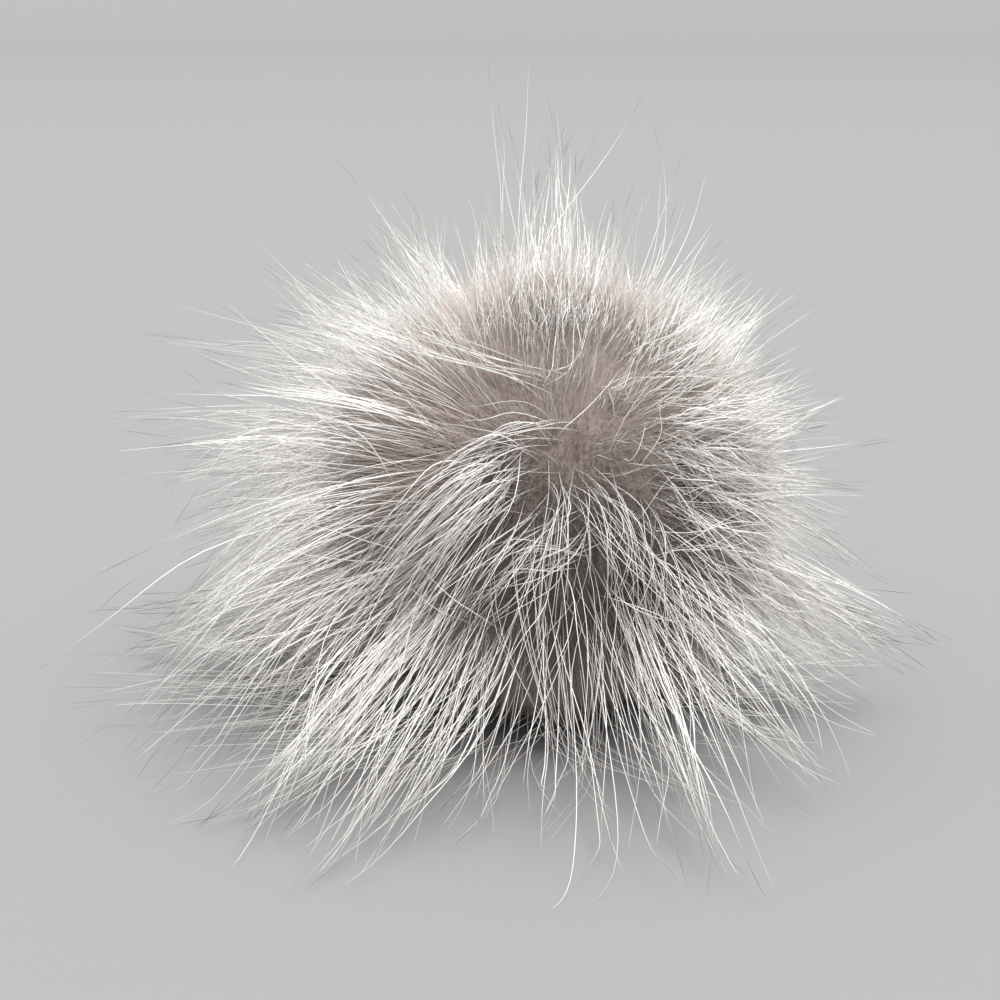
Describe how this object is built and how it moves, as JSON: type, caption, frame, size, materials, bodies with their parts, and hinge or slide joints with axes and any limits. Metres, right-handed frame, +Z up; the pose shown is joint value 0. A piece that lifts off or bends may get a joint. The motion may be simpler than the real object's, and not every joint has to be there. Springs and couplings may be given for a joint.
{
  "type": "fur pom pom",
  "caption": "Round fur pom pom: dense taupe underfur and long white guard hair in pointed locks with dark tips; trims a hat, bag, scarf or key ring.",
  "frame": {"origin": "middle of the small flat spot on which the ball rests", "axes": "+Z up, the ball's face with its thin-haired crown looks along -Y, and +X is to the right of that face"},
  "size_m": [0.1291, 0.119, 0.0914],
  "materials": {
    "underfur": "soft, matte, very fine fur",
    "guard_hair": "long, smooth hair with a slight sheen and dark tips"
  },
  "bodies": {
    "root": {"fur_ball": "underfur"}
  },
  "joints": []
}
